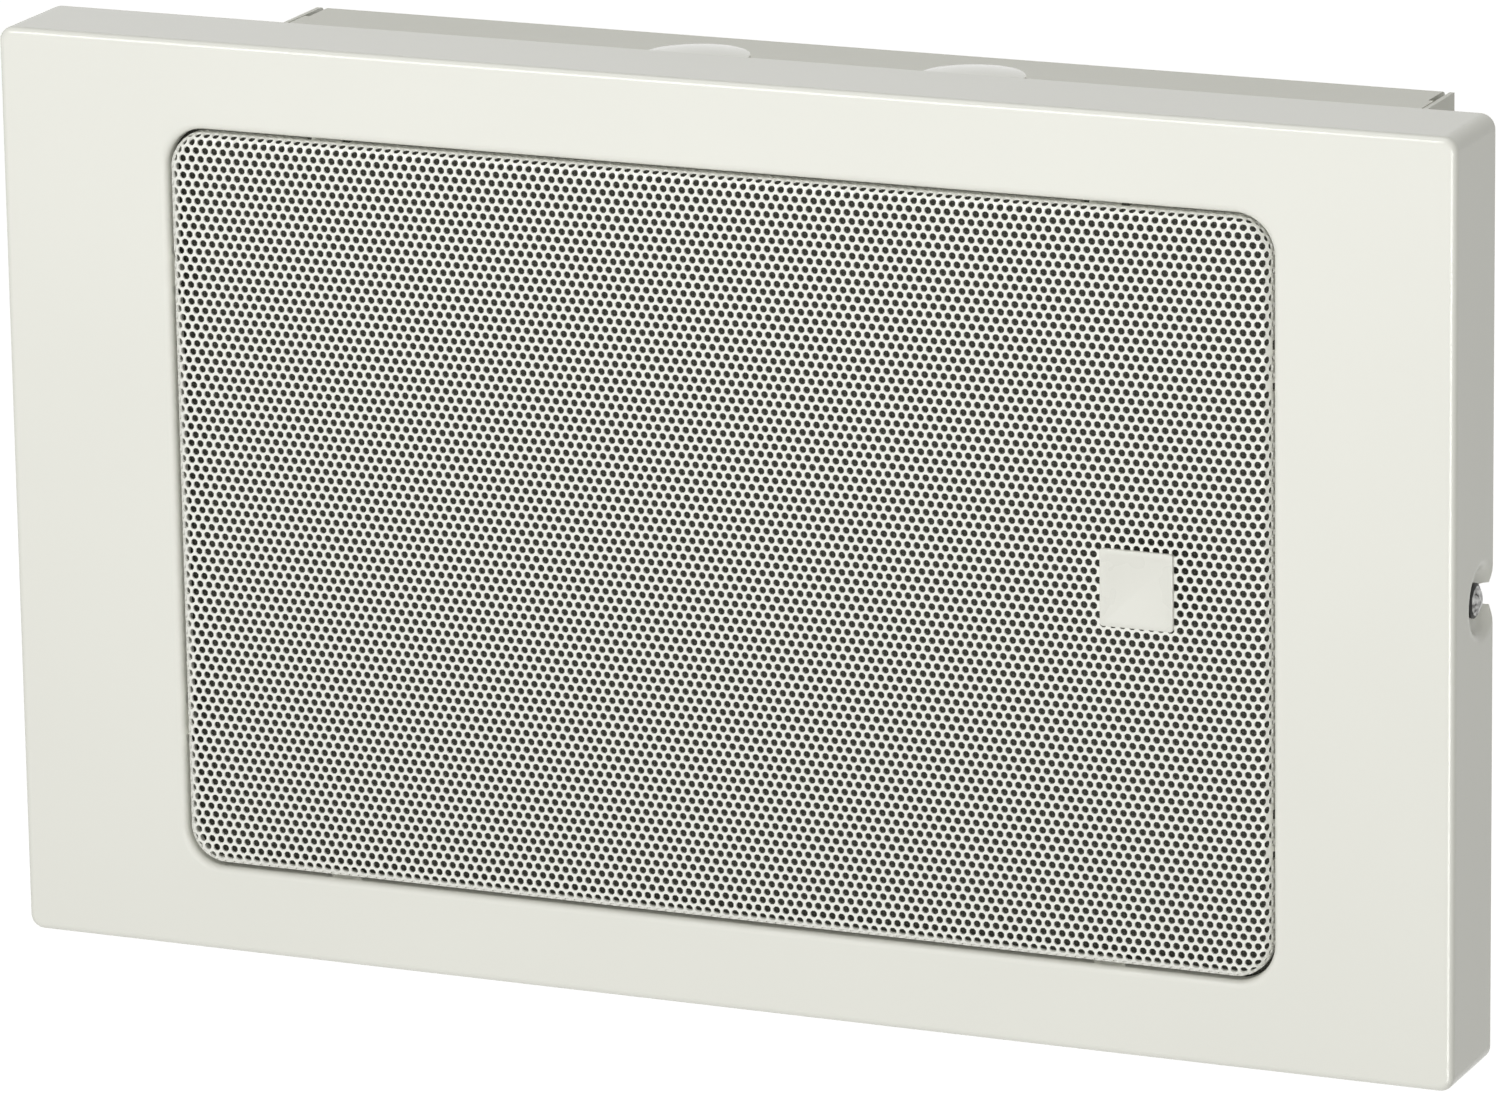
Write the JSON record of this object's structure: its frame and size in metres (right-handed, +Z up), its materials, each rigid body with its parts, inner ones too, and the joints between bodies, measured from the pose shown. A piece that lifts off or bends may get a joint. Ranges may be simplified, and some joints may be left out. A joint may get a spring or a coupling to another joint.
{
  "type": "wall-mount paging speaker",
  "caption": "Flat rectangular wall speaker: folded off-white steel front with a rolled opening and perforated grille, on a shallow steel back box with a cone driver and line transformer.",
  "frame": {"origin": "on the wall plane, at the centre of the back box's rear face and of its four wall holes", "axes": "+Y into the wall (the front faces -Y), +Z up, +X to the right as seen from the front"},
  "size_m": [0.31, 0.0888, 0.19],
  "materials": {
    "panel_paint": "satin off-white baked paint",
    "grille_paint": "satin off-white baked paint",
    "box_paint": "satin off-white baked paint",
    "badge_plastic": "smooth moulded, bare",
    "plug_plastic": "moulded",
    "plated_steel": "bright zinc plate",
    "zinc_sheet": "zinc-plated sheet",
    "black_cloth": "woven acoustic cloth",
    "gasket_rubber": "foam rubber",
    "frame_paint": "black paint",
    "cone_paper": "pressed paper pulp",
    "surround_cloth": "coated cloth",
    "spider_cloth": "resin-dipped cloth",
    "former_paper": "paper",
    "copper_wire": "enamelled wire",
    "ferrite": "sintered",
    "magnet_steel": "passivated",
    "fibre_board": "hard paper",
    "tag_brass": "tinned",
    "core_steel": "varnished sheet stack",
    "bobbin_plastic": "moulded",
    "block_plastic": "moulded"
  },
  "bodies": {
    "cabinet": {"front_panel": "panel_paint", "grille": "grille_paint", "badge_plate": "badge_plastic", "speaker_cloth": "black_cloth", "baffle_plate": "zinc_sheet", "weld_studs": "plated_steel", "baffle_spacers": "plated_steel", "baffle_nuts": "plated_steel", "back_box": "box_paint", "cable_entry_plugs": "plug_plastic", "side_screws": "plated_steel", "lug_nuts": "plated_steel", "driver_gasket": "gasket_rubber", "driver_basket": "frame_paint", "cone_surround": "surround_cloth", "spider": "spider_cloth", "magnet_top_plate": "magnet_steel", "magnet_ring": "ferrite", "magnet_yoke": "magnet_steel", "driver_terminal_board": "fibre_board", "driver_terminal_tags": "tag_brass", "driver_screws": "plated_steel", "transformer_core": "core_steel", "transformer_bobbin": "bobbin_plastic", "transformer_winding": "copper_wire", "transformer_bracket": "zinc_sheet", "transformer_screws": "plated_steel", "terminal_block": "block_plastic", "terminal_clamp_screws": "plated_steel", "terminal_block_screws": "plated_steel"},
    "diaphragm": {"speaker_cone": "cone_paper", "dust_cap": "cone_paper", "voice_coil_former": "former_paper", "voice_coil_winding": "copper_wire"}
  },
  "joints": [
    {"name": "cone_travel", "type": "slide", "parent": "cabinet", "child": "diaphragm", "axis": [0, 1, 0], "range_m": [-0.0015, 0.0015], "stiffness_N_per_m": 1500, "deforming": ["cone_surround", "spider"]}
  ]
}
